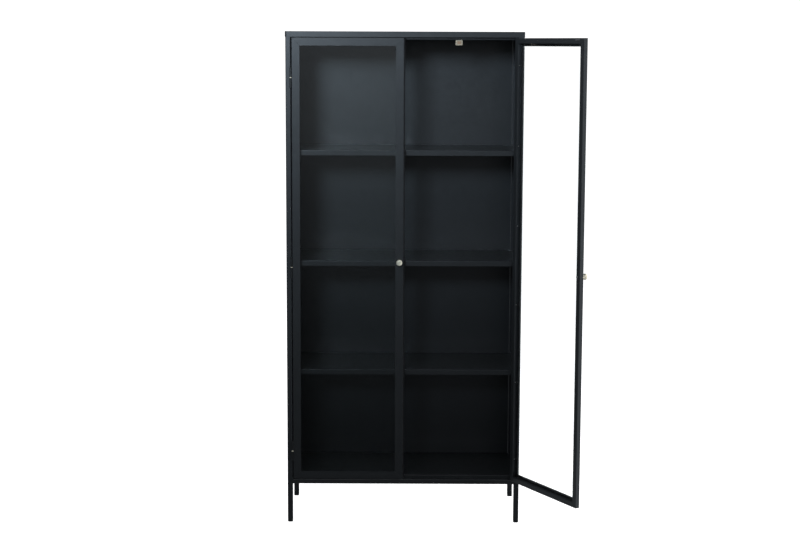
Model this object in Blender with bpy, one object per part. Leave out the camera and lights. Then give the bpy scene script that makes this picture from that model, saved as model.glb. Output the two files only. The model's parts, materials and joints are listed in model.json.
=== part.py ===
"""Free-standing steel display case with two framed glass doors, a deck and three fixed shelves.

Units are metres. +X runs to the right, +Y to the back and +Z up. All the sizes below are measured in the
cabinet's own frame: X = 0 is its middle, Y = 0 the front face of the corner posts, Z = 0 the floor. At the
end the whole object is shifted so that the origin lies under the middle of its bounding box.
"""

import math

import bmesh
import bpy
import numpy as np
from mathutils import Matrix, Vector

# Driving dimensions
WIDTH = 0.900
HEIGHT = 1.892
POST = 0.020
LEG_SPACING = 0.356
LEG_CLEARANCE = 0.153
SHEET = 0.0015
TUBE_WALL = 0.0015
FIT_GAP = 0.0003

# Frame
POST_RADIUS = 0.003
POST_OUTER = WIDTH / 2 - SHEET - FIT_GAP
POST_INNER = POST_OUTER - POST
BACK_POST_FRONT = LEG_SPACING
FRAME_DEPTH = LEG_SPACING + POST
FRAME_TOP = HEIGHT - SHEET - FIT_GAP
FOOT_HEIGHT = 0.0035
FOOT_WIDTH = 0.0176
FOOT_CHAMFER = 0.001
PLUG_WIDTH = POST - 2 * TUBE_WALL - 0.0008
PLUG_HEIGHT = 0.014

# Lid, deck and shelves: folded sheet trays, open below
LID_LIP = 0.021
FOLD_RADIUS = 0.002
TRAY_HALF_WIDTH = 0.4440
SIDE_PANEL_INNER = 0.4446
BACK_PANEL_FRONT = BACK_POST_FRONT + 0.0005
TRAY_BACK = BACK_POST_FRONT - FIT_GAP
DECK_TOP = 0.184
DECK_LIP = 0.030
DECK_FRONT = POST + 0.0010
SHELF_PITCH = 0.423
SHELF_LIP = 0.020
SHELF_FRONT = 0.028
SHELF_NAMES = ("lower", "middle", "upper")
FIRST_SHELF_TOP = 0.600

# Front rails
BOTTOM_RAIL_TOP = 0.1712
RAIL_RADIUS = 0.0025
TOP_RAIL_BOTTOM = 1.861
TOP_RAIL_FRONT = POST + 0.0005
RAIL_DEPTH = 0.020

# Doors: an L-shaped profile, a tube with a flange that the glass rests against
DOOR_BOTTOM = 0.1730
DOOR_TOP = 1.8688
DOOR_OUTER_EDGE = POST_INNER - 0.0029
DOOR_MEETING_EDGE = 0.0031
DOOR_HEIGHT = DOOR_TOP - DOOR_BOTTOM
DOOR_WIDTH = DOOR_OUTER_EDGE - DOOR_MEETING_EDGE
DOOR_THICKNESS = 0.018
PROFILE_FACE = 0.030
PROFILE_TUBE = 0.020
PROFILE_FLANGE = 0.002
PROFILE_RADIUS = 0.0015
MITRE_GAP = 0.00022
GLASS_THICKNESS = 0.004
GLASS_SETBACK = PROFILE_FLANGE + 0.0005
GLASS_PLAY = 0.001
OPEN_ANGLE = math.radians(120.5)

# Hinges: a lower half with its pin on the post, an upper half on the door, a washer between them
HINGE_X = POST_INNER + 0.0003
HINGE_Y = -0.0040
HINGE_RADIUS = -HINGE_Y - FIT_GAP
HINGE_HALF_LENGTH = 0.0375
HINGE_HEIGHTS = {"lower": 0.2835, "middle": 1.0015, "upper": 1.7195}
PIN_RADIUS = 0.0018
PIN_LENGTH = 0.024
BORE_RADIUS = 0.0022
WASHER_THICKNESS = 0.0024
WASHER_RADIUS = 0.0038

# Knobs, their screws, the pads, the dust seal and the magnetic catches
KNOB_HEIGHT = (DOOR_BOTTOM + DOOR_TOP) / 2
KNOB_RADIUS = 0.0115
KNOB_LENGTH = 0.024
KNOB_INSET = PROFILE_FACE / 2
SCREW_RADIUS = 0.0018
SCREW_HEAD_RADIUS = 0.0042
SCREW_HEAD_HEIGHT = 0.0024
SCREW_HOLE_RADIUS = 0.0023
SCREW_REACH = 0.008
PAD_LENGTH = 0.030
PAD_HEIGHT = 0.009
PAD_THICKNESS = 0.0015
SEAL_WIDTH = 0.0043
SEAL_DEPTH = 0.008
SEAL_SETBACK = 0.003
CATCH_X = 0.2035
CATCH_WIDTH = 0.026
CATCH_DEPTH = 0.022
CATCH_TOP = TOP_RAIL_BOTTOM - FIT_GAP
CATCH_HEIGHT = 0.0195
CATCH_FRONT = DOOR_THICKNESS + 0.0012
MAGNET_WIDTH = 0.0130
MAGNET_HEIGHT = 0.0100
MAGNET_DEPTH = 0.0060

SIDES = {"left": -1, "right": 1}
ROUND_SEGMENTS = 24


def clear_scene():
    for item in list(bpy.data.objects):
        bpy.data.objects.remove(item, do_unlink=True)


def make_material(name, colour, roughness, metallic=0.0, alpha=1.0):
    material = bpy.data.materials.new(name)
    material.use_nodes = True
    shader = material.node_tree.nodes["Principled BSDF"]
    shader.inputs["Base Color"].default_value = (*colour, 1.0)
    shader.inputs["Roughness"].default_value = roughness
    shader.inputs["Metallic"].default_value = metallic
    shader.inputs["Alpha"].default_value = alpha
    return material


def make_materials():
    return {
        "paint": make_material("gunmetal_paint", (0.031, 0.034, 0.037), 0.38, 0.2),
        "glass": make_material("clear_glass", (0.90, 0.95, 0.95), 0.03, 0.0, 0.15),
        "brass": make_material("pale_brass", (1.0, 0.94, 0.76), 0.30, 0.15),
        "steel": make_material("bright_steel", (0.60, 0.60, 0.58), 0.30, 1.0),
        "catch": make_material("beige_plastic", (0.54, 0.46, 0.34), 0.50),
        "magnet": make_material("dark_magnet", (0.46, 0.30, 0.19), 0.45, 0.1),
        "cap": make_material("black_plastic", (0.015, 0.015, 0.016), 0.55),
        "seal": make_material("black_rubber", (0.010, 0.010, 0.011), 0.70),
        "pad": make_material("pale_felt", (0.11, 0.11, 0.11), 0.90),
    }


def add_empty(name, location, parent=None, turn=0.0):
    empty = bpy.data.objects.new(name, None)
    empty.location = location
    empty.rotation_euler = (0.0, 0.0, turn)
    empty.parent = parent
    bpy.context.collection.objects.link(empty)
    return empty


def add_object(name, bm, material, parent, location=(0.0, 0.0, 0.0), smooth=False):
    bmesh.ops.recalc_face_normals(bm, faces=bm.faces)
    mesh = bpy.data.meshes.new(name)
    bm.to_mesh(mesh)
    bm.free()
    if smooth:
        mesh.shade_smooth()
        mesh.set_sharp_from_angle(angle=math.radians(35))
    mesh.materials.append(material)
    item = bpy.data.objects.new(name, mesh)
    item.location = location
    item.parent = parent
    bpy.context.collection.objects.link(item)
    return item


def rounded_rectangle(width, depth, radius, segments=3):
    """Corner arcs, counter-clockwise, centred on the origin."""
    points = []
    for quarter, (sx, sy) in enumerate(((1, 1), (-1, 1), (-1, -1), (1, -1))):
        centre = (sx * (width / 2 - radius), sy * (depth / 2 - radius))
        for step in range(segments + 1):
            angle = (quarter + step / segments) * math.pi / 2
            points.append((centre[0] + radius * math.cos(angle), centre[1] + radius * math.sin(angle)))
    return points


def skin_rings(rings, closed=False):
    """Joins rings of equal length with quads. Open chains get an end cap at each end."""
    bm = bmesh.new()
    loops = [[bm.verts.new(point) for point in ring] for ring in rings]
    pairs = list(zip(loops, loops[1:]))
    if closed:
        pairs.append((loops[-1], loops[0]))
    for low, high in pairs:
        count = len(low)
        for i in range(count):
            j = (i + 1) % count
            bm.faces.new((low[i], low[j], high[j], high[i]))
    if not closed:
        bm.faces.new(loops[0])
        bm.faces.new(loops[-1])
    return bm


def turned(profile, segments=ROUND_SEGMENTS):
    """Solid of revolution about Z from (radius, height) points. A point on the axis closes its end."""
    bm = bmesh.new()
    rings = []
    for radius, height in profile:
        if radius == 0.0:
            rings.append([bm.verts.new((0.0, 0.0, height))])
            continue
        ring = []
        for step in range(segments):
            angle = 2 * math.pi * step / segments
            ring.append(bm.verts.new((radius * math.cos(angle), radius * math.sin(angle), height)))
        rings.append(ring)
    pairs = list(zip(rings, rings[1:]))
    if len(rings[0]) > 1:
        pairs.append((rings[-1], rings[0]))
    for low, high in pairs:
        for i in range(segments):
            j = (i + 1) % segments
            corners = [low[i % len(low)], low[j % len(low)], high[j % len(high)], high[i % len(high)]]
            bm.faces.new(list(dict.fromkeys(corners)))
    return bm


def tube(width, depth, radius, length):
    """Hollow rounded rectangular tube along +Z, open at both ends."""
    outline = rounded_rectangle(width, depth, radius)
    bore = rounded_rectangle(width - 2 * TUBE_WALL, depth - 2 * TUBE_WALL, max(radius - TUBE_WALL, 0.0008))
    rings = []
    for points, height in ((outline, 0.0), (outline, length), (bore, length), (bore, 0.0)):
        rings.append([(x, y, height) for x, y in points])
    return skin_rings(rings, closed=True)


def box(low, high):
    bm = bmesh.new()
    bmesh.ops.create_cube(bm, size=1.0)
    size = Vector(high) - Vector(low)
    bmesh.ops.scale(bm, vec=size, verts=bm.verts)
    bmesh.ops.translate(bm, vec=(Vector(high) + Vector(low)) / 2, verts=bm.verts)
    return bm


def add_bevel(item, width, segments=2):
    bevel = item.modifiers.new("Bevel", "BEVEL")
    bevel.width = width
    bevel.segments = segments
    bevel.limit_method = "ANGLE"
    bevel.angle_limit = math.radians(40)
    return bevel


def add_box(name, low, high, material, parent, bevel=0.0):
    item = add_object(name, box(low, high), material, parent)
    if bevel:
        add_bevel(item, bevel)
    return item


def add_tray(name, low, high, material, parent):
    """Folded sheet tray, open below: a bottomless box with rounded folds, thickened inwards."""
    bm = box(low, high)
    bottom = [face for face in bm.faces if face.normal.z < -0.5]
    bmesh.ops.delete(bm, geom=bottom, context="FACES_ONLY")
    item = add_object(name, bm, material, parent, smooth=True)
    add_bevel(item, FOLD_RADIUS, segments=3)
    thicken = item.modifiers.new("Solidify", "SOLIDIFY")
    thicken.thickness = SHEET
    thicken.offset = -1.0
    thicken.use_even_offset = True
    return item


def cut(item, cutter_mesh, name, parent, location=(0.0, 0.0, 0.0)):
    """Subtracts a hidden cutter from an item."""
    cutter = add_object(name, cutter_mesh, item.data.materials[0], parent, location)
    cutter.hide_render = True
    cutter.display_type = "WIRE"
    difference = item.modifiers.new("Cut", "BOOLEAN")
    difference.operation = "DIFFERENCE"
    difference.object = cutter


def build_frame(root, materials):
    half_span = POST_OUTER - POST / 2
    rows = {"front": POST / 2, "back": BACK_POST_FRONT + POST / 2}
    post_bottom = FOOT_HEIGHT + FIT_GAP
    for row, y in rows.items():
        for side, sign in SIDES.items():
            mesh = tube(POST, POST, POST_RADIUS, FRAME_TOP - post_bottom)
            place = (sign * half_span, y, post_bottom)
            add_object(f"post_{row}_{side}", mesh, materials["paint"], root, place, smooth=True)
            build_foot_cap(f"foot_cap_{row}_{side}", (sign * half_span, y, 0.0), materials, root)
    build_front_rails(root, materials)


def build_foot_cap(name, place, materials, root):
    """End cap: a chamfered foot with a plug that stands up inside the leg tube."""
    sections = (
        (FOOT_WIDTH - 2 * FOOT_CHAMFER, 0.0),
        (FOOT_WIDTH, FOOT_CHAMFER),
        (FOOT_WIDTH, FOOT_HEIGHT),
        (PLUG_WIDTH, FOOT_HEIGHT),
        (PLUG_WIDTH, PLUG_HEIGHT),
    )
    rings = []
    for width, height in sections:
        rings.append([(x, y, height) for x, y in rounded_rectangle(width, width, 0.0015, 2)])
    add_object(name, skin_rings(rings), materials["cap"], root, place)


def build_front_rails(root, materials):
    """The bottom rail lies between the front posts, the top rail behind them as the doors' stop."""
    rows = (
        ("front_bottom_rail", POST_INNER - FIT_GAP, LEG_CLEARANCE, BOTTOM_RAIL_TOP, FIT_GAP),
        ("front_top_rail", TRAY_HALF_WIDTH, TOP_RAIL_BOTTOM, FRAME_TOP, TOP_RAIL_FRONT),
    )
    for name, half_length, low, high, front in rows:
        mesh = tube(RAIL_DEPTH, high - low, RAIL_RADIUS, 2 * half_length)
        # the tube's width turns to Y and its length to X
        bmesh.ops.transform(mesh, matrix=Matrix(((0, 0, 1, 0), (1, 0, 0, 0), (0, 1, 0, 0), (0, 0, 0, 1))),
                            verts=mesh.verts)
        place = (-half_length, front + RAIL_DEPTH / 2, (low + high) / 2)
        add_object(name, mesh, materials["paint"], root, place, smooth=True)


def build_panels(root, materials):
    paint = materials["paint"]
    edge = SHEET + FIT_GAP
    add_tray("top_lid", (-WIDTH / 2, -edge, HEIGHT - LID_LIP), (WIDTH / 2, FRAME_DEPTH + edge, HEIGHT), paint, root)
    add_tray(
        "bottom_deck",
        (-TRAY_HALF_WIDTH, DECK_FRONT, DECK_TOP - DECK_LIP),
        (TRAY_HALF_WIDTH, TRAY_BACK, DECK_TOP),
        paint,
        root,
    )
    for index, level in enumerate(SHELF_NAMES):
        top = FIRST_SHELF_TOP + index * SHELF_PITCH
        low = (-TRAY_HALF_WIDTH, SHELF_FRONT, top - SHELF_LIP)
        add_tray(f"shelf_{level}", low, (TRAY_HALF_WIDTH, TRAY_BACK, top), paint, root)
    for side, sign in SIDES.items():
        faces = sorted((sign * SIDE_PANEL_INNER, sign * (SIDE_PANEL_INNER + SHEET)))
        low = (faces[0], POST + FIT_GAP, LEG_CLEARANCE)
        add_box(f"side_panel_{side}", low, (faces[1], BACK_POST_FRONT - FIT_GAP, FRAME_TOP), paint, root)
    back_half = POST_INNER - FIT_GAP
    add_box(
        "back_panel",
        (-back_half, BACK_PANEL_FRONT, LEG_CLEARANCE),
        (back_half, BACK_PANEL_FRONT + SHEET, FRAME_TOP),
        paint,
        root,
    )


def build_catch(side, sign, root, materials):
    """Magnetic catch under the top rail, with its magnet in a pocket at the front."""
    centre_x = sign * CATCH_X
    low = (centre_x - CATCH_WIDTH / 2, CATCH_FRONT, CATCH_TOP - CATCH_HEIGHT)
    high = (centre_x + CATCH_WIDTH / 2, CATCH_FRONT + CATCH_DEPTH, CATCH_TOP)
    body = add_box(f"catch_{side}", low, high, materials["catch"], root, bevel=0.001)
    centre_z = CATCH_TOP - CATCH_HEIGHT / 2
    half = Vector((MAGNET_WIDTH / 2, MAGNET_DEPTH / 2, MAGNET_HEIGHT / 2))
    centre = Vector((centre_x, CATCH_FRONT + MAGNET_DEPTH / 2, centre_z))
    room = Vector((FIT_GAP, FIT_GAP, FIT_GAP))
    cut(body, box(centre - half - room, centre + half + room), f"catch_{side}_pocket_cutter", root)
    add_box(f"catch_{side}_magnet", centre - half, centre + half, materials["magnet"], root)


def door_outline():
    """Profile in (u, v): u from the door's edge towards the glass, v from the outer face inwards."""
    radius = PROFILE_RADIUS
    back = DOOR_THICKNESS - radius
    points = arc_points(radius, radius, radius, 180)
    points += [(PROFILE_FACE, 0.0), (PROFILE_FACE, PROFILE_FLANGE), (PROFILE_TUBE, PROFILE_FLANGE)]
    points += arc_points(PROFILE_TUBE - radius, back, radius, 0)
    points += arc_points(radius, back, radius, 90)
    return points


def arc_points(u, v, radius, start, steps=2):
    """Quarter arc, counter-clockwise from the start angle in degrees."""
    angles = [math.radians(start + 90 * step / steps) for step in range(steps + 1)]
    return [(u + radius * math.cos(angle), v + radius * math.sin(angle)) for angle in angles]


def door_bore():
    """The hollow of the profile's tube."""
    low = TUBE_WALL
    return [
        (low, low),
        (PROFILE_TUBE - low, low),
        (PROFILE_TUBE - low, DOOR_THICKNESS - low),
        (low, DOOR_THICKNESS - low),
    ]


def mitred_member(length):
    """Door frame member along w with both ends mitred at 45 degrees, longest at its outer edge."""
    bm = bmesh.new()
    end_edges = ([], [])
    for loop in (door_outline(), door_bore()):
        rings = []
        for end in (0, 1):
            ring = []
            for u, v in loop:
                inset = u + MITRE_GAP
                w = length - inset if end else inset
                ring.append(bm.verts.new((u, v, w)))
            rings.append(ring)
        count = len(loop)
        for i in range(count):
            j = (i + 1) % count
            bm.faces.new((rings[0][i], rings[0][j], rings[1][j], rings[1][i]))
            for end in (0, 1):
                end_edges[end].append(bm.edges.get((rings[end][i], rings[end][j])))
    for edges in end_edges:
        bmesh.ops.triangle_fill(bm, use_beauty=True, edges=edges)
    return bm


def member_matrix(origin, u_axis, w_axis):
    """Carries (u, v, w) to the door's frame. v always runs inwards, along +Y."""
    matrix = Matrix.Identity(4)
    for column, axis in enumerate((u_axis, (0.0, 1.0, 0.0), w_axis)):
        for row in range(3):
            matrix[row][column] = axis[row]
    matrix.translation = Vector(origin)
    return matrix


def build_door(side, sign, root, materials):
    """Builds one door about an empty on its hinge axis, in the closed pose, then turns that empty."""
    turn = OPEN_ANGLE if side == "right" else 0.0
    pivot = add_empty(f"door_{side}_pivot", (sign * HINGE_X, HINGE_Y, 0.0), root, turn)
    face = -HINGE_Y
    edge = -sign * (HINGE_X - DOOR_OUTER_EDGE)
    meeting = edge - sign * DOOR_WIDTH
    inward = float(-sign)
    members = (
        ("hinge_stile", (edge, face, DOOR_BOTTOM), (inward, 0, 0), (0, 0, 1), DOOR_HEIGHT),
        ("meeting_stile", (meeting, face, DOOR_BOTTOM), (-inward, 0, 0), (0, 0, 1), DOOR_HEIGHT),
        ("bottom_rail", (edge, face, DOOR_BOTTOM), (0, 0, 1), (inward, 0, 0), DOOR_WIDTH),
        ("top_rail", (edge, face, DOOR_TOP), (0, 0, -1), (inward, 0, 0), DOOR_WIDTH),
    )
    stiles = {}
    for label, origin, u_axis, w_axis, length in members:
        mesh = mitred_member(length)
        bmesh.ops.transform(mesh, matrix=member_matrix(origin, u_axis, w_axis), verts=mesh.verts)
        name = f"door_{side}_{label}"
        stiles[label] = add_object(name, mesh, materials["paint"], pivot, smooth=True)
    build_glass(side, edge, inward, face, pivot, materials)
    build_knob(side, meeting - inward * KNOB_INSET, face, stiles["meeting_stile"], pivot, materials)
    build_pad(side, meeting - inward * PROFILE_TUBE, inward, face, pivot, materials)
    if side == "left":
        build_seal(meeting, inward, face, pivot, materials)
    for level, height in HINGE_HEIGHTS.items():
        build_hinge(f"{side}_{level}", sign, height, root, pivot, materials)


def span(a, b):
    return (min(a, b), max(a, b))


def build_glass(side, edge, inward, face, pivot, materials):
    inset = PROFILE_TUBE + GLASS_PLAY
    x_low, x_high = span(edge + inward * inset, edge + inward * (DOOR_WIDTH - inset))
    front = face + GLASS_SETBACK
    low = (x_low, front, DOOR_BOTTOM + inset)
    high = (x_high, front + GLASS_THICKNESS, DOOR_TOP - inset)
    add_box(f"door_{side}_glass", low, high, materials["glass"], pivot)


def build_knob(side, x, face, stile, pivot, materials):
    """Turned knob on the outer face, held by a screw that passes through the meeting stile."""
    bore = SCREW_REACH + 2 * FIT_GAP
    profile = (
        (0.0, bore),
        (SCREW_HOLE_RADIUS, bore),
        (SCREW_HOLE_RADIUS, 0.0),
        (0.0060, 0.0),
        (0.0060, 0.0015),
        (0.0042, 0.0035),
        (0.0042, 0.0110),
        (0.0090, 0.0130),
        (KNOB_RADIUS, 0.0150),
        (KNOB_RADIUS, KNOB_LENGTH - 0.0020),
        (KNOB_RADIUS - 0.0020, KNOB_LENGTH),
        (0.0, KNOB_LENGTH),
    )
    outwards = Matrix.Rotation(math.radians(90), 4, "X")
    knob = turned(profile)
    bmesh.ops.transform(knob, matrix=outwards, verts=knob.verts)
    place = (x, face - FIT_GAP, KNOB_HEIGHT)
    add_object(f"door_{side}_knob", knob, materials["brass"], pivot, place, smooth=True)
    shank = DOOR_THICKNESS + FIT_GAP + SCREW_REACH
    screw_profile = (
        (0.0, -SCREW_HEAD_HEIGHT),
        (SCREW_HEAD_RADIUS * 0.6, -SCREW_HEAD_HEIGHT * 0.9),
        (SCREW_HEAD_RADIUS, -SCREW_HEAD_HEIGHT * 0.35),
        (SCREW_HEAD_RADIUS, 0.0),
        (SCREW_RADIUS, 0.0),
        (SCREW_RADIUS, shank),
        (0.0, shank),
    )
    screw = turned(screw_profile, 16)
    bmesh.ops.transform(screw, matrix=outwards, verts=screw.verts)
    place = (x, face + DOOR_THICKNESS + FIT_GAP, KNOB_HEIGHT)
    add_object(f"door_{side}_knob_screw", screw, materials["steel"], pivot, place, smooth=True)
    drill_length = 2 * DOOR_THICKNESS
    drill = turned(((0.0, 0.0), (SCREW_HOLE_RADIUS, 0.0), (SCREW_HOLE_RADIUS, drill_length), (0.0, drill_length)), 16)
    bmesh.ops.transform(drill, matrix=outwards, verts=drill.verts)
    place = (x, face + 1.5 * DOOR_THICKNESS, KNOB_HEIGHT)
    cut(stile, drill, f"door_{side}_screw_drill", pivot, place)


def build_pad(side, x, inward, face, pivot, materials):
    """Pale stop pad on the inner face of the top rail, beside the meeting stile."""
    x_low, x_high = span(x, x - inward * PAD_LENGTH)
    back = face + DOOR_THICKNESS + FIT_GAP
    low = (x_low, back, DOOR_TOP - 0.0015 - PAD_HEIGHT)
    high = (x_high, back + PAD_THICKNESS, DOOR_TOP - 0.0015)
    add_box(f"door_{side}_pad", low, high, materials["pad"], pivot)


def build_seal(meeting, inward, face, pivot, materials):
    """Dust strip on the left door's meeting edge."""
    x_low, x_high = span(meeting + inward * FIT_GAP, meeting + inward * (FIT_GAP + SEAL_WIDTH))
    front = face + SEAL_SETBACK
    low = (x_low, front, DOOR_BOTTOM)
    high = (x_high, front + SEAL_DEPTH, DOOR_TOP)
    add_box("door_left_dust_seal", low, high, materials["seal"], pivot, bevel=0.001)


def build_hinge(label, sign, height, root, pivot, materials):
    half_washer = WASHER_THICKNESS / 2
    start = half_washer + FIT_GAP
    end = start + HINGE_HALF_LENGTH
    tip = HINGE_RADIUS * 0.5
    place = (sign * HINGE_X, HINGE_Y, height)
    pin_half = (
        (0.0, -end),
        (tip, -end),
        (HINGE_RADIUS, -end + tip),
        (HINGE_RADIUS, -start),
        (PIN_RADIUS, -start),
        (PIN_RADIUS, PIN_LENGTH),
        (0.0, PIN_LENGTH),
    )
    add_object(f"hinge_{label}_pin_half", turned(pin_half), materials["paint"], root, place, smooth=True)
    bore_end = PIN_LENGTH + 2 * FIT_GAP
    sleeve = (
        (0.0, bore_end),
        (BORE_RADIUS, bore_end),
        (BORE_RADIUS, start),
        (HINGE_RADIUS, start),
        (HINGE_RADIUS, end - tip),
        (tip, end),
        (0.0, end),
    )
    add_object(f"hinge_{label}_sleeve", turned(sleeve), materials["paint"], pivot, (0.0, 0.0, height), smooth=True)
    washer = (
        (BORE_RADIUS, -half_washer),
        (WASHER_RADIUS, -half_washer),
        (WASHER_RADIUS, half_washer),
        (BORE_RADIUS, half_washer),
    )
    add_object(f"hinge_{label}_washer", turned(washer), materials["brass"], root, place, smooth=True)


def centre_over_floor(root):
    """Shifts the root so that the origin lies under the middle of the whole object's bounding box."""
    depsgraph = bpy.context.evaluated_depsgraph_get()
    lows = []
    highs = []
    for item in bpy.data.objects:
        if item.type != "MESH" or item.hide_render:
            continue
        shape = item.evaluated_get(depsgraph)
        points = np.array([shape.matrix_world @ vertex.co for vertex in shape.data.vertices])
        lows.append(points.min(axis=0))
        highs.append(points.max(axis=0))
    middle = (np.min(lows, axis=0) + np.max(highs, axis=0)) / 2
    root.location = (-float(middle[0]), -float(middle[1]), 0.0)


def build_display_case():
    clear_scene()
    materials = make_materials()
    root = add_empty("display_case", (0.0, 0.0, 0.0))
    build_frame(root, materials)
    build_panels(root, materials)
    for side, sign in SIDES.items():
        build_catch(side, sign, root, materials)
        build_door(side, sign, root, materials)
    centre_over_floor(root)


build_display_case()
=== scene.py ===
"""Looks of the display case: its painted steel, glass and fittings, the studio and the camera.

Units are metres, +Z up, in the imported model's frame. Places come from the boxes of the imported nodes. What
sits on a door is made in the door's own axes (along it from the hinge, inward through it, up) and turned to
where it rests: the left door is closed and the right one stands open.
"""

import json
import math

import bmesh
import bpy
from mathutils import Matrix, Vector


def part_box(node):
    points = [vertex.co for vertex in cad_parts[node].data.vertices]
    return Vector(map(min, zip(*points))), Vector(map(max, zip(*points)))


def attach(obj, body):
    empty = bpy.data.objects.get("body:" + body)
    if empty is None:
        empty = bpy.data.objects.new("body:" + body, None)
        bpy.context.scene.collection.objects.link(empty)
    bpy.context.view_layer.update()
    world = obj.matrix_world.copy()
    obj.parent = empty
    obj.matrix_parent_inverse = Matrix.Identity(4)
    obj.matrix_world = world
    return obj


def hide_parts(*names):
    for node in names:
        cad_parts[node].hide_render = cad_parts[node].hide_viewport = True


# Camera
CAMERA_PLACE = (-0.110, -5.898, 1.846)
CAMERA_PITCH = 7.38
CAMERA_YAW = -0.10
CAMERA_ROLL = 0.21
CAMERA_LENS = 70.4
CAMERA_SHIFT = -0.025

# Studio. The levels are what the case sees around it, and the backdrop is what the camera sees behind it.
BACKDROP = 1.20
FLOOR_SIZE = 40.0
FLOOR_GREY = (0.35, 0.35, 0.35)
FLOOR_GLOW = 1.15
SURROUND_LEVEL = 0.07
BEHIND_LEVEL = 0.22
FRONT_LEVEL = 0.38
FRONT_LOWEST_LEVEL = 0.02
FRONT_LOWEST_SINE = -0.25
FRONT_FALL = 2.5
STUDIO_TINT = (0.92, 1.00, 1.08)
KEY_PLACE = (-1.55, -5.0, 3.1)
KEY_TARGET = (-0.45, 0.1, 2.12)
KEY_POWER = 600.0
KEY_COLOUR = (0.82, 1.00, 1.17)
KEY_RADIUS = 0.7
KEY_CONE = 32.0
# Light panels: name, place, target, size, power, and whether glossy surfaces mirror them
PANELS = (
    ("top", (-0.5, -1.3, 2.6), (-0.3, 0.1, 1.4), (0.8, 0.5), 5.0, True),
    ("side", (5.0, 0.2, 1.3), (0.4, -0.2, 1.0), (2.0, 2.0), 600.0, False),
    ("rear", (-3.0, 3.5, 2.6), (-0.1, 0.3, 0.9), (2.0, 2.0), 120.0, False),
)

# Finishes
PAINT = (0.031, 0.034, 0.037)
# Hinge barrels: darker than the frame's paint, as painted shade for the shadowed gap they sit in
HINGE_PAINTED_SHADE = (0.012, 0.013, 0.014)
GLASS_MIRROR = 0.04
SHARP_ANGLE = 35.0

# Fittings
SHEET = 0.0015
LID_FOLD = 0.002
LID_CORNER = 0.008
KNOB_RADIUS = 0.0115
KNOB_RIM = 0.0065
SCREW_HEAD_RADIUS = 0.0042
SCREW_SHANK_RADIUS = 0.0019
CLIP_SIZE = (0.0070, 0.0095, 0.0090)
CLIP_SHEET = 0.0010
CLIP_SCREW_RADIUS = 0.0020
CLIP_SCREW_SHANK = 0.003
CLIP_SCREW_HEIGHT = 0.0014
CLIP_LOWEST = 0.263
CLIP_PITCH = 0.301
CLIPS_PER_STILE = 6
TUBE_WIDTH = 0.020
GLASS_SETBACK = 0.0025
BARREL_RADIUS = 0.0037
PIN_RADIUS = 0.0021
BARREL_CHAMFER = 0.0005
WELD_RADIUS = 0.0011
WELD_PITCH = 0.0016
WELD_MARGIN = 0.002
SHOE_HALF_WIDTH = 0.0097
SHOE_EDGE = 0.0022
SHOE_CORNER = 0.0032
CATCH_WALL = 0.0045
CATCH_LIP = 0.0008
CATCH_MOUTH = 0.0025
CATCH_CORNER = 0.0022
MAGNET_EDGE = 0.0004
PAD_INSET = 0.0018
PAD_CORNER = 0.0018
TURNED_SIDES = 48


# ---- Node helpers ----


def link(tree, source, target):
    tree.links.new(source, target)


def add_node(tree, kind, **settings):
    node = tree.nodes.new(kind)
    for name, value in settings.items():
        setattr(node, name, value)
    return node


def math_node(tree, operation, *values, clamp=False):
    """A Math node whose inputs are numbers or other nodes' outputs; returns its output."""
    node = add_node(tree, "ShaderNodeMath", operation=operation, use_clamp=clamp)
    for socket, value in zip(node.inputs, values):
        if isinstance(value, (int, float)):
            socket.default_value = value
        else:
            link(tree, value, socket)
    return node.outputs["Value"]


def smooth_step(tree, value, start, end):
    span = add_node(tree, "ShaderNodeMapRange", interpolation_type="SMOOTHSTEP")
    span.inputs["From Min"].default_value = start
    span.inputs["From Max"].default_value = end
    link(tree, value, span.inputs["Value"])
    return span.outputs["Result"]


def new_material(name, base, roughness, metallic=0.0):
    material = bpy.data.materials.new(name)
    material.use_nodes = True
    shader = material.node_tree.nodes["Principled BSDF"]
    shader.inputs["Base Color"].default_value = (*base, 1.0)
    shader.inputs["Roughness"].default_value = roughness
    shader.inputs["Metallic"].default_value = metallic
    return material, material.node_tree, shader


def noise(tree, scale, detail=2.0, stretch=(1.0, 1.0, 1.0)):
    """Noise in the piece's own metres, scale in features per metre."""
    place = add_node(tree, "ShaderNodeTexCoord")
    mapping = add_node(tree, "ShaderNodeMapping")
    mapping.inputs["Scale"].default_value = stretch
    texture = add_node(tree, "ShaderNodeTexNoise")
    texture.inputs["Scale"].default_value = scale
    texture.inputs["Detail"].default_value = detail
    link(tree, place.outputs["Object"], mapping.inputs["Vector"])
    link(tree, mapping.outputs["Vector"], texture.inputs["Vector"])
    return texture.outputs["Fac"]


def colour_between(tree, factor, low, high, target):
    ramp = add_node(tree, "ShaderNodeValToRGB")
    ramp.color_ramp.elements[0].position = 0.3
    ramp.color_ramp.elements[1].position = 0.7
    ramp.color_ramp.elements[0].color = (*low, 1.0)
    ramp.color_ramp.elements[1].color = (*high, 1.0)
    link(tree, factor, ramp.inputs["Fac"])
    link(tree, ramp.outputs["Color"], target)


def value_between(tree, factor, low, high, target):
    span = add_node(tree, "ShaderNodeMapRange")
    span.inputs["From Min"].default_value = 0.3
    span.inputs["From Max"].default_value = 0.7
    span.inputs["To Min"].default_value = low
    span.inputs["To Max"].default_value = high
    link(tree, factor, span.inputs["Value"])
    link(tree, span.outputs["Result"], target)


def bump(tree, shader, height, distance, strength=1.0):
    node = add_node(tree, "ShaderNodeBump")
    node.inputs["Distance"].default_value = distance
    node.inputs["Strength"].default_value = strength
    link(tree, height, node.inputs["Height"])
    link(tree, node.outputs["Normal"], shader.inputs["Normal"])


def scaled(colour, factor):
    return tuple(channel * factor for channel in colour)


# ---- Materials ----


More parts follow.
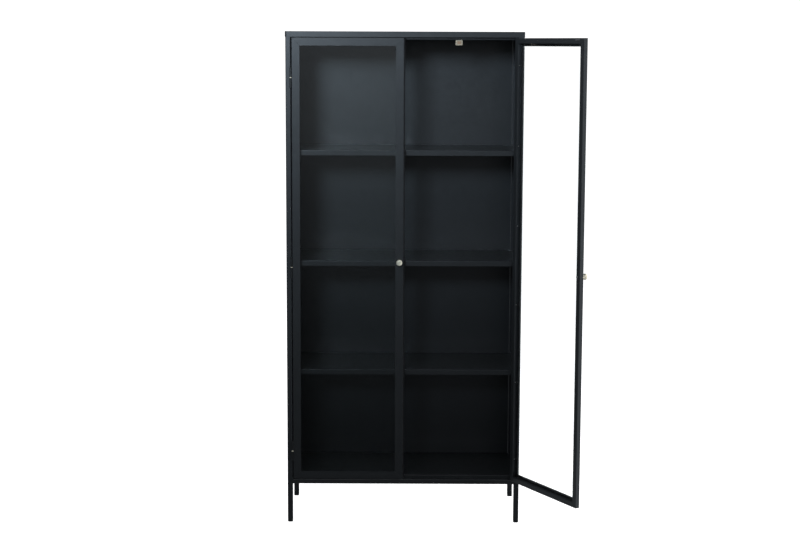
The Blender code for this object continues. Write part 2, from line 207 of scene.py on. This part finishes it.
def make_paint(name, base):
    """Satin powder coat: slight mottling, a fine orange peel and an uneven gloss."""
    material, tree, shader = new_material(name, base, 0.30)
    mottle = noise(tree, 9.0, 3.0)
    colour_between(tree, mottle, scaled(base, 0.94), scaled(base, 1.06), shader.inputs["Base Color"])
    value_between(tree, noise(tree, 55.0, 3.0), 0.28, 0.34, shader.inputs["Roughness"])
    bump(tree, shader, noise(tree, 900.0, 2.0), 0.000008)
    return material


def make_glass():
    """Clear float glass: what is behind it shows straight through, and it mirrors more at a grazing angle."""
    material, tree, shader = new_material("case_glass", (1.0, 1.0, 1.0), 0.0)
    tree.nodes.remove(shader)
    clear = add_node(tree, "ShaderNodeBsdfTransparent")
    tint = noise(tree, 1.3, 1.0)
    colour_between(tree, tint, (0.970, 0.985, 0.985), (0.985, 0.995, 0.995), clear.inputs["Color"])
    mirror = add_node(tree, "ShaderNodeBsdfGlossy")
    value_between(tree, noise(tree, 6.0, 3.0), 0.004, 0.012, mirror.inputs["Roughness"])
    facing = add_node(tree, "ShaderNodeLayerWeight").outputs["Facing"]
    grazing = math_node(tree, "POWER", facing, 5.0)
    share = math_node(tree, "MULTIPLY_ADD", grazing, 1.0 - GLASS_MIRROR, GLASS_MIRROR)
    mix = add_node(tree, "ShaderNodeMixShader")
    link(tree, share, mix.inputs["Fac"])
    link(tree, clear.outputs["BSDF"], mix.inputs[1])
    link(tree, mirror.outputs["BSDF"], mix.inputs[2])
    link(tree, mix.outputs["Shader"], tree.nodes["Material Output"].inputs["Surface"])
    return material


def make_metal(name, base, rough_low, rough_high, metallic=1.0):
    """Metal with a fine uneven polish."""
    material, tree, shader = new_material(name, base, rough_low, metallic)
    mottle = noise(tree, 160.0, 2.0)
    colour_between(tree, mottle, scaled(base, 0.92), scaled(base, 1.04), shader.inputs["Base Color"])
    value_between(tree, noise(tree, 700.0, 3.0), rough_low, rough_high, shader.inputs["Roughness"])
    bump(tree, shader, noise(tree, 2500.0, 2.0), 0.000008)
    return material


def make_plastic(name, base, rough_low, rough_high, grain=1500.0, depth=0.00002):
    """Matt plastic, rubber or felt, or the hinges' paint darkened as painted shade, with a grain of the given
    fineness and depth.
    """
    material, tree, shader = new_material(name, base, rough_low)
    mottle = noise(tree, 120.0, 2.0)
    colour_between(tree, mottle, scaled(base, 0.93), scaled(base, 1.05), shader.inputs["Base Color"])
    value_between(tree, noise(tree, 300.0, 2.0), rough_low, rough_high, shader.inputs["Roughness"])
    bump(tree, shader, noise(tree, grain, 2.0), depth)
    return material


def make_materials():
    return {
        "gunmetal_paint": make_paint("case_paint", PAINT),
        # Hinge barrels' finish: the frame's paint darkened as painted shade for the gap they sit in
        "hinge_black": make_plastic("case_hinge_black", HINGE_PAINTED_SHADE, 0.42, 0.52),
        "clear_glass": make_glass(),
        "pale_brass": make_metal("case_brass", (1.00, 0.94, 0.76), 0.26, 0.36, 0.15),
        "bright_steel": make_metal("case_steel", (0.60, 0.60, 0.58), 0.25, 0.38),
        "beige_plastic": make_plastic("case_catch_plastic", (0.54, 0.46, 0.34), 0.42, 0.55),
        "dark_magnet": make_metal("case_magnet", (0.46, 0.30, 0.19), 0.40, 0.55, 0.1),
        "black_plastic": make_plastic("case_foot_plastic", (0.015, 0.015, 0.016), 0.48, 0.60),
        "black_rubber": make_plastic("case_rubber", (0.010, 0.010, 0.011), 0.62, 0.75, 2200.0),
        "pale_felt": make_plastic("case_felt", (0.11, 0.11, 0.11), 0.85, 0.95, 3000.0, 0.0002),
    }


def dress_nodes(nodes, materials):
    """Gives every carried-over node the finish that its slot names."""
    for node in nodes.values():
        for slot in node.material_slots:
            name = slot.material.name.split(".")[0]
            slot.material = materials[name]


# ---- Mesh helpers ----


def arc(centre_x, centre_y, radius, start, end, steps=6):
    """Points (x, y) along an arc, its start and end angles in degrees."""
    angles = [math.radians(start + (end - start) * step / steps) for step in range(steps + 1)]
    return [(centre_x + radius * math.cos(angle), centre_y + radius * math.sin(angle)) for angle in angles]


def circle(radius):
    return arc(0.0, 0.0, radius, 0.0, 360.0, TURNED_SIDES)[:-1]


def cross(arm, half_width):
    """The outline of a cross recess, with as many points as a circle."""
    points = []
    for x, y in circle(1.0):
        long_side = max(abs(x), abs(y))
        short_side = min(abs(x), abs(y))
        reach = min(arm / long_side, half_width / max(short_side, 0.001))
        points.append((x * reach, y * reach))
    return points


def rounded_rectangle(half_x, half_y, radius, steps=6):
    x, y = half_x - radius, half_y - radius
    return (arc(x, y, radius, 0, 90, steps) + arc(-x, y, radius, 90, 180, steps)
            + arc(-x, -y, radius, 180, 270, steps) + arc(x, -y, radius, 270, 360, steps))


def loft(bm, place, sections, closed=False):
    """Skins the sections, each (outline, height). The ends are capped, or joined together when closed."""
    rings = []
    for outline, height in sections:
        rings.append([bm.verts.new(place @ Vector((x, y, height))) for x, y in outline])
    pairs = list(zip(rings, rings[1:]))
    if closed:
        pairs.append((rings[-1], rings[0]))
    else:
        bm.faces.new(rings[0])
        bm.faces.new(rings[-1])
    for low, high in pairs:
        for index in range(len(low)):
            after = (index + 1) % len(low)
            bm.faces.new((low[index], low[after], high[after], high[index]))


def turned(bm, place, profile):
    """Skins circles along the piece's own Z axis. The profile is (radius, height) from end to end."""
    loft(bm, place, [(circle(radius), height) for radius, height in profile])


def add_piece(name, bm, body, slot, replaced=(), finish=None):
    """Makes the mesh a piece that rides on the body. Its look is its slot's, unless a finish is named."""
    bmesh.ops.recalc_face_normals(bm, faces=bm.faces)
    mesh = bpy.data.meshes.new(name)
    bm.to_mesh(mesh)
    bm.free()
    mesh.shade_smooth()
    mesh.set_sharp_from_angle(angle=math.radians(SHARP_ANGLE))
    mesh.materials.append(materials[finish or slot])
    piece = bpy.data.objects.new(name, mesh)
    bpy.context.scene.collection.objects.link(piece)
    flat_faces = piece.modifiers.new("flat_faces", "WEIGHTED_NORMAL")
    flat_faces.keep_sharp = True
    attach(piece, body)
    if replaced:
        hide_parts(*replaced)
    return piece


def middle(node):
    low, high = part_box(node)
    return (low + high) / 2


# ---- Doors' axes ----


def hinge_joint(side):
    return next(joint for joint in frame["joints"] if joint["name"] == f"door_{side}_hinge")


def hinge_pivot(side):
    return Vector((*hinge_joint(side)["pos_m"][:2], 0.0))


def closed_place(side):
    """From the axes of a closed door to the frame; the right door's are mirrored."""
    mirror = 1 if side == "left" else -1
    return Matrix.Translation(hinge_pivot(side)) @ Matrix.Diagonal((mirror, 1, 1, 1))


def door_place(side):
    """From a door's axes to the frame, where the door rests. Its joint's range starts where it is closed."""
    joint = hinge_joint(side)
    turn = math.radians(-joint["range_deg"][0] * joint["axis"][2])
    pivot = Matrix.Translation(hinge_pivot(side))
    return pivot @ Matrix.Rotation(turn, 4, "Z") @ pivot.inverted() @ closed_place(side)


def door_box(part):
    """A door node's box in the doors' own axes, which is the same for both doors."""
    low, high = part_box(f"door_left_{part}")
    return low - hinge_pivot("left"), high - hinge_pivot("left")


OUTWARD = Matrix.Rotation(math.radians(90), 4, "X")
INWARD = Matrix.Rotation(math.radians(-90), 4, "X")
SIDEWAYS = Matrix.Rotation(math.radians(90), 4, "Y")


# ---- Cabinet pieces ----


def make_lid():
    """Folded sheet lid: rounded corners, a soft fold along each edge and open underneath."""
    low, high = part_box("top_lid")
    half_x, half_y = (high.x - low.x) / 2, (high.y - low.y) / 2
    depth = high.z - low.z
    fold = [(inset, depth + rise) for inset, rise in arc(LID_FOLD, -LID_FOLD, LID_FOLD, 180, 90)]
    inner = [(SHEET + LID_FOLD, depth - SHEET), (SHEET, depth - SHEET - LID_FOLD), (SHEET, 0.0)]
    steps = inner + [(0.0, 0.0)] + fold
    sections = [(rounded_rectangle(half_x - inset, half_y - inset, LID_CORNER - inset), height)
                for inset, height in steps]
    bm = bmesh.new()
    loft(bm, Matrix.Translation(((low.x + high.x) / 2, (low.y + high.y) / 2, low.z)), sections)
    add_piece("lid_folded_sheet", bm, "cabinet", "gunmetal_paint", ["top_lid"])


def make_foot_caps():
    """Plastic plugs in the leg tubes, each with a rounded shoe the size of the tube."""
    for corner in ("front_left", "front_right", "back_left", "back_right"):
        node = f"foot_cap_{corner}"
        low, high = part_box(node)
        tube_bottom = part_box(f"post_{corner}")[0].z
        plug_half = (high.x - low.x) / 2
        plug_inset = SHOE_HALF_WIDTH - plug_half
        shoe_top = tube_bottom - 0.0003
        edge = [(SHOE_EDGE - x, y) for x, y in arc(0.0, SHOE_EDGE, SHOE_EDGE, 270, 360)]
        steps = edge + [(0.0, shoe_top), (plug_inset, shoe_top), (plug_inset, high.z)]
        sections = [(rounded_rectangle(SHOE_HALF_WIDTH - inset, SHOE_HALF_WIDTH - inset, SHOE_CORNER), height)
                    for inset, height in steps]
        bm = bmesh.new()
        loft(bm, Matrix.Translation((middle(node).x, middle(node).y, 0.0)), sections)
        add_piece(f"foot_shoe_{corner}", bm, "cabinet", "black_plastic", [node])


def make_catches():
    """Magnetic catches under the top rail: a ribbed case, its mouth forward, and the magnet inside."""
    for side in ("left", "right"):
        low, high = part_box(f"catch_{side}")
        half_x, half_z, length = (high.x - low.x) / 2, (high.z - low.z) / 2, high.y - low.y
        centre = Vector(((low.x + high.x) / 2, high.y, (low.z + high.z) / 2))
        place = Matrix.Translation(centre) @ OUTWARD
        steps = [(CATCH_LIP, 0.0), (0.0, CATCH_LIP), (0.0, length - CATCH_LIP), (CATCH_LIP, length),
                 (CATCH_WALL, length), (CATCH_WALL + 0.0003, length - CATCH_MOUTH)]
        sections = [(rounded_rectangle(half_x - inset, half_z - inset, CATCH_CORNER), height)
                    for inset, height in steps]
        bm = bmesh.new()
        loft(bm, place, sections)
        for rib in (-0.6, -0.2, 0.2, 0.6):
            for face in (-1, 1):
                spot = place @ Matrix.Translation((half_x * face, half_z * rib, length / 2))
                outline = rounded_rectangle(0.0005, 0.0007, 0.0004, 3)
                loft(bm, spot, [(outline, -length * 0.32), (outline, length * 0.32)])
        add_piece(f"catch_{side}_case", bm, "cabinet", "beige_plastic", [f"catch_{side}"])

        low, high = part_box(f"catch_{side}_magnet")
        half_x, half_z, length = (high.x - low.x) / 2, (high.z - low.z) / 2, high.y - low.y
        place = Matrix.Translation(((low.x + high.x) / 2, high.y, (low.z + high.z) / 2)) @ OUTWARD
        bm = bmesh.new()
        for layer in (-1, 0, 1):
            thick = half_z * (0.26 if layer else 0.60)
            reach = length if layer else length - 0.0006
            spot = place @ Matrix.Translation((0.0, layer * half_z * 0.74, 0.0))
            steps = [(MAGNET_EDGE, 0.0), (0.0, MAGNET_EDGE), (0.0, reach - MAGNET_EDGE), (MAGNET_EDGE, reach)]
            loft(bm, spot, [(rounded_rectangle(half_x - inset, thick - inset, 0.0005), height)
                            for inset, height in steps])
        add_piece(f"catch_{side}_magnet_and_poles", bm, "cabinet", "dark_magnet", [f"catch_{side}_magnet"])


def weld_bead(bm, place, spot, low, high):
    """A rippled weld bead standing at the spot, tapered to both ends."""
    steps = int((high - low) / WELD_PITCH) * 6
    sections = []
    for step in range(steps + 1):
        share = step / steps
        taper = min(1.0, 12 * min(share, 1 - share) + 0.25)
        ripple = 1 + 0.10 * math.sin(math.tau * step / 6)
        outline = arc(*spot, WELD_RADIUS * taper * ripple, 0, 360, 12)[:-1]
        sections.append((outline, low + (high - low) * share))
    loft(bm, place, sections)


def make_hinges():
    """Weld-on barrel hinges: the half with the pin on the post, a washer, and the sleeve on the door. Both
    barrels are darker than the frame's paint, as painted shade for the gap they sit in.
    """
    for side in ("left", "right"):
        pivot = Matrix.Translation(hinge_pivot(side))
        for level in ("lower", "middle", "upper"):
            stem = f"hinge_{side}_{level}"
            pin_low, pin_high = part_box(f"{stem}_pin_half")
            washer_low, washer_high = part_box(f"{stem}_washer")
            sleeve_low, sleeve_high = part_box(f"{stem}_sleeve")
            radius, chamfer = BARREL_RADIUS, BARREL_CHAMFER
            shoulder = washer_low.z - 0.0002

            bm = bmesh.new()
            barrel = [(radius - chamfer, pin_low.z), (radius, pin_low.z + chamfer),
                      (radius, shoulder - chamfer), (radius - chamfer, shoulder)]
            pin = [(PIN_RADIUS, shoulder), (PIN_RADIUS, pin_high.z - chamfer),
                   (PIN_RADIUS - chamfer, pin_high.z)]
            turned(bm, pivot, barrel + pin)
            weld_low, weld_high = pin_low.z + WELD_MARGIN, shoulder - WELD_MARGIN
            weld_bead(bm, closed_place(side), (-0.0030, 0.0032), weld_low, weld_high)
            add_piece(f"{stem}_pin_barrel", bm, "cabinet", "gunmetal_paint", [f"{stem}_pin_half"],
                      "hinge_black")

            bm = bmesh.new()
            bore = PIN_RADIUS + 0.0002
            outer = (washer_high.x - washer_low.x) / 2
            ring = [(bore, washer_low.z), (outer - 0.0002, washer_low.z), (outer, washer_low.z + 0.0002),
                    (outer, washer_high.z - 0.0002), (outer - 0.0002, washer_high.z), (bore, washer_high.z)]
            loft(bm, pivot, [(circle(size), height) for size, height in ring], closed=True)
            add_piece(f"{stem}_washer_ring", bm, "cabinet", "pale_brass", [f"{stem}_washer"])

            bm = bmesh.new()
            crown = arc(radius - 0.0015, sleeve_high.z - 0.0015, 0.0015, 0, 90)
            wall = [(bore, pin_high.z + 0.0005), (bore, sleeve_low.z), (radius - chamfer, sleeve_low.z),
                    (radius, sleeve_low.z + chamfer)]
            turned(bm, pivot, wall + crown)
            weld_low, weld_high = sleeve_low.z + WELD_MARGIN, sleeve_high.z - WELD_MARGIN
            weld_bead(bm, door_place(side), (0.0031, 0.0033), weld_low, weld_high)
            add_piece(f"{stem}_sleeve_barrel", bm, f"door_{side}", "gunmetal_paint", [f"{stem}_sleeve"],
                      "hinge_black")


# ---- Door pieces ----


def make_knob(side):
    """Turned knob: a short foot, a body that swells to a full round head, and a small dimple in its face."""
    low, high = door_box("knob")
    length = high.y - low.y
    foot_centre = Matrix.Translation(((low.x + high.x) / 2, high.y, (low.z + high.z) / 2))
    place = door_place(side) @ foot_centre @ OUTWARD
    radius, rim = KNOB_RADIUS, KNOB_RIM
    foot = [(radius * 0.74, 0.0), (radius * 0.80, 0.0004), (radius * 0.80, 0.0020), (radius * 0.76, 0.0024)]
    swell = [(radius * (0.88 - 0.12 * math.cos(math.pi * share)), 0.0030 + (length - rim - 0.0030) * share)
             for share in (0.0, 0.15, 0.3, 0.45, 0.6, 0.75, 0.9)]
    head = arc(radius - rim, length - rim, rim, 0, 90, 10)
    dimple = [(0.0027, length), (0.0024, length - 0.0003),
              (0.0020, length - 0.0028), (0.0007, length - 0.0032)]
    bm = bmesh.new()
    turned(bm, place, foot + swell + head + dimple)
    add_piece(f"door_{side}_turned_knob", bm, f"door_{side}", "pale_brass", [f"door_{side}_knob"])


def screw(bm, place, shank_radius, shank, head_radius, head_height):
    """Pan-head screw along the piece's own Z: its head starts at zero and has a cross recess."""
    edge = head_height * 0.45
    dome = [(head_radius * math.cos(turn), edge + (head_height - edge) * math.sin(turn))
            for turn in (math.radians(angle) for angle in (0, 20, 40, 60))]
    sections = [(circle(radius), height) for radius, height in
                [(shank_radius, -shank), (shank_radius, 0.0), (head_radius, 0.0)] + dome]
    top = head_height * 0.97
    arm, half_width = head_radius * 0.48, head_radius * 0.11
    sections += [(cross(arm, half_width), top), (cross(arm * 0.8, half_width * 0.8), top - head_height * 0.5)]
    loft(bm, place, sections)


def make_knob_screw(side):
    low, high = door_box("knob_screw")
    seat = door_box("meeting_stile")[1].y
    place = door_place(side) @ Matrix.Translation(((low.x + high.x) / 2, seat, (low.z + high.z) / 2)) @ INWARD
    bm = bmesh.new()
    screw(bm, place, SCREW_SHANK_RADIUS, seat - low.y, SCREW_HEAD_RADIUS, high.y - seat)
    add_piece(f"door_{side}_knob_pan_screw", bm, f"door_{side}", "bright_steel", [f"door_{side}_knob_screw"])


def make_glazing_tape(side):
    """Black foam tape round the pane, between the frame's face and the glass."""
    glass_low, glass_high = door_box("glass")
    face = door_box("hinge_stile")[0].y
    opening = door_box("hinge_stile")[1].x
    width = opening - glass_low.x - 0.0004
    centre_x, centre_z = (glass_low.x + glass_high.x) / 2, (glass_low.z + glass_high.z) / 2
    half_x, half_z = (glass_high.x - glass_low.x) / 2, (glass_high.z - glass_low.z) / 2
    place = door_place(side) @ Matrix.Translation((centre_x, face, centre_z)) @ INWARD
    front, back = GLASS_SETBACK - 0.0004, GLASS_SETBACK - 0.00005
    steps = [(0.0002, front), (0.0, back), (width, back), (width, front)]
    bm = bmesh.new()
    sections = [(rounded_rectangle(half_x - inset, half_z - inset, 0.0010, 2), depth)
                for inset, depth in steps]
    loft(bm, place, sections, closed=True)
    add_piece(f"door_{side}_glazing_tape", bm, f"door_{side}", "black_rubber")


def make_clips(side):
    """Glass clips: bent steel tabs that hold the pane in the frame, each screwed to the side of the tube."""
    glass_back = door_box("glass")[1].y
    reach, depth, height = CLIP_SIZE
    bend = CLIP_SHEET * 1.5
    outline = ([(0.0, depth), (0.0, bend)] + arc(bend, bend, bend, 180, 270, 4)[1:]
               + [(reach, 0.0), (reach, CLIP_SHEET)]
               + arc(bend, bend, bend - CLIP_SHEET, 270, 180, 4) + [(CLIP_SHEET, depth)])
    hinge_edge, meeting_edge = door_box("hinge_stile")[0].x, door_box("meeting_stile")[1].x
    for stile, outer, along in (("hinge", hinge_edge, 1), ("meeting", meeting_edge, -1)):
        clips, screws = bmesh.new(), bmesh.new()
        corner = Matrix.Translation((outer + along * (TUBE_WIDTH + 0.0001), glass_back + 0.0001, 0.0))
        axes = door_place(side) @ corner @ Matrix.Diagonal((along, 1, 1, 1))
        for index in range(CLIPS_PER_STILE):
            level = CLIP_LOWEST + CLIP_PITCH * index
            loft(clips, axes, [(outline, level - height / 2), (outline, level + height / 2)])
            seat = axes @ Matrix.Translation((CLIP_SHEET, depth * 0.58, level)) @ SIDEWAYS
            screw(screws, seat, CLIP_SCREW_RADIUS * 0.45, CLIP_SCREW_SHANK, CLIP_SCREW_RADIUS,
                  CLIP_SCREW_HEIGHT)
        add_piece(f"door_{side}_{stile}_side_clips", clips, f"door_{side}", "gunmetal_paint")
        add_piece(f"door_{side}_{stile}_side_clip_screws", screws, f"door_{side}", "bright_steel")


def make_pad(side):
    """Soft pad stuck on the inside of the top rail, where the catch meets the door."""
    low, high = door_box("pad")
    half_x, half_z = (high.x - low.x) / 2 - PAD_INSET, (high.z - low.z) / 2 - PAD_INSET
    thick = high.y - low.y
    seat = Matrix.Translation(((low.x + high.x) / 2, low.y, (low.z + high.z) / 2))
    place = door_place(side) @ seat @ INWARD
    edge = thick * 0.6
    rim = [(edge * (1 - math.sin(turn)), thick - edge * (1 - math.cos(turn)))
           for turn in (math.radians(angle) for angle in (90, 60, 30, 0))]
    sections = [(rounded_rectangle(half_x - inset, half_z - inset, PAD_CORNER), height)
                for inset, height in [(0.0, 0.0)] + rim]
    bm = bmesh.new()
    loft(bm, place, sections)
    add_piece(f"door_{side}_felt_pad", bm, f"door_{side}", "pale_felt", [f"door_{side}_pad"])


def make_dust_seal():
    """Rubber bulb seal along the left door's meeting edge: a flat foot and a round bulb."""
    low, high = door_box("dust_seal")
    centre = (low.y + high.y) / 2
    foot, half, reach = 0.0009, (high.y - low.y) / 2, high.x - low.x
    bulb = [(foot + (reach - foot) * math.cos(turn), half * 0.80 * math.sin(turn))
            for turn in (math.radians(-80 + 16 * step) for step in range(11))]
    outline = [(0.0, -half), (foot, -half)] + bulb + [(foot, half), (0.0, half)]
    bm = bmesh.new()
    place = door_place("left") @ Matrix.Translation((low.x, centre, 0.0))
    loft(bm, place, [(outline, low.z), (outline, high.z)])
    add_piece("door_left_bulb_seal", bm, "door_left", "black_rubber", ["door_left_dust_seal"])


# ---- Studio ----


def make_floor():
    bm = bmesh.new()
    bmesh.ops.create_grid(bm, x_segments=8, y_segments=8, size=FLOOR_SIZE)
    mesh = bpy.data.meshes.new("floor")
    bm.to_mesh(mesh)
    bm.free()
    floor = bpy.data.objects.new("floor", mesh)
    bpy.context.scene.collection.objects.link(floor)
    material, _, shader = new_material("floor_white", FLOOR_GREY, 0.9)
    shader.inputs["Emission Color"].default_value = (1.0, 1.0, 1.0, 1.0)
    shader.inputs["Emission Strength"].default_value = FLOOR_GLOW
    mesh.materials.append(material)
    floor.visible_diffuse = False
    floor.visible_glossy = False


def make_world():
    """A white backdrop for the camera. The case itself sees grey surroundings, lighter behind it, and a
    bright wall straight in front that fades towards the floor and shows in the closed door's glass."""
    world = bpy.data.worlds.new("studio")
    world.use_nodes = True
    bpy.context.scene.world = world
    tree = world.node_tree
    place = add_node(tree, "ShaderNodeTexCoord")
    axes = add_node(tree, "ShaderNodeSeparateXYZ")
    link(tree, place.outputs["Generated"], axes.inputs["Vector"])
    behind = smooth_step(tree, axes.outputs["Y"], -0.75, -0.25)
    around = math_node(tree, "MULTIPLY_ADD", behind, BEHIND_LEVEL - SURROUND_LEVEL, SURROUND_LEVEL)
    rise = math_node(tree, "SUBTRACT", axes.outputs["Z"], FRONT_LOWEST_SINE)
    share = math_node(tree, "DIVIDE", rise, -FRONT_LOWEST_SINE, clamp=True)
    fade = math_node(tree, "POWER", share, FRONT_FALL)
    wall = math_node(tree, "MULTIPLY_ADD", fade, FRONT_LEVEL, FRONT_LOWEST_LEVEL)
    ahead = smooth_step(tree, axes.outputs["Y"], -0.90, -0.97)
    level = add_node(tree, "ShaderNodeMix", data_type="FLOAT")
    link(tree, ahead, level.inputs["Factor"])
    link(tree, around, level.inputs["A"])
    link(tree, wall, level.inputs["B"])
    seen = add_node(tree, "ShaderNodeBackground")
    seen.inputs["Color"].default_value = (1.0, 1.0, 1.0, 1.0)
    seen.inputs["Strength"].default_value = BACKDROP
    lit = tree.nodes["Background"]
    lit.inputs["Color"].default_value = (*STUDIO_TINT, 1.0)
    link(tree, level.outputs["Result"], lit.inputs["Strength"])
    choice = add_node(tree, "ShaderNodeMixShader")
    link(tree, add_node(tree, "ShaderNodeLightPath").outputs["Is Camera Ray"], choice.inputs["Fac"])
    link(tree, lit.outputs["Background"], choice.inputs[1])
    link(tree, seen.outputs["Background"], choice.inputs[2])
    link(tree, choice.outputs["Shader"], tree.nodes["World Output"].inputs["Surface"])


def add_light(name, kind, place, target, power, colour=(1.0, 1.0, 1.0)):
    light = bpy.data.lights.new(name, kind)
    light.energy = power
    light.color = colour
    item = bpy.data.objects.new(name, light)
    bpy.context.scene.collection.objects.link(item)
    item.location = place
    item.rotation_euler = (Vector(target) - Vector(place)).to_track_quat("-Z", "Y").to_euler()
    return item


def make_lights():
    key = add_light("key", "SPOT", KEY_PLACE, KEY_TARGET, KEY_POWER, KEY_COLOUR).data
    key.shadow_soft_size = KEY_RADIUS
    key.spot_size = math.radians(KEY_CONE)
    key.spot_blend = 1.0
    for name, place, target, size, power, mirrored in PANELS:
        panel = add_light(name, "AREA", place, target, power)
        panel.data.shape = "RECTANGLE"
        panel.data.size, panel.data.size_y = size
        panel.visible_glossy = mirrored
        panel.visible_camera = False


def make_camera():
    data = bpy.data.cameras.new("camera")
    data.lens = CAMERA_LENS
    data.sensor_width = 36.0
    data.shift_y = CAMERA_SHIFT
    data.clip_end = 200.0
    camera = bpy.data.objects.new("camera", data)
    camera.location = CAMERA_PLACE
    turn = Matrix.Rotation(math.radians(-CAMERA_YAW), 4, "Z")
    tilt = Matrix.Rotation(math.radians(90 - CAMERA_PITCH), 4, "X")
    roll = Matrix.Rotation(math.radians(CAMERA_ROLL), 4, "Z")
    camera.rotation_euler = (turn @ tilt @ roll).to_euler()
    bpy.context.scene.collection.objects.link(camera)
    bpy.context.scene.camera = camera


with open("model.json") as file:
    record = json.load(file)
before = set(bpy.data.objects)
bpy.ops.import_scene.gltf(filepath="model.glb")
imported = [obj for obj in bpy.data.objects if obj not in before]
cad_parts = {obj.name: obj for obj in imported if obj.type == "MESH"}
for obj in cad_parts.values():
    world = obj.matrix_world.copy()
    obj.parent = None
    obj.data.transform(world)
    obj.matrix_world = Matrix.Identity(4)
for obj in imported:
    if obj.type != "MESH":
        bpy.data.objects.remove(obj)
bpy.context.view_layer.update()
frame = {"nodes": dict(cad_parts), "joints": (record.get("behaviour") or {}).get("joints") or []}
materials = make_materials()
dress_nodes(frame["nodes"], materials)

make_lid()
make_foot_caps()
make_catches()
make_hinges()
for door_side in ("left", "right"):
    make_knob(door_side)
    make_knob_screw(door_side)
    make_glazing_tape(door_side)
    make_clips(door_side)
    make_pad(door_side)
make_dust_seal()

make_floor()
make_world()
make_lights()
make_camera()
bpy.context.scene.view_settings.view_transform = "Standard"
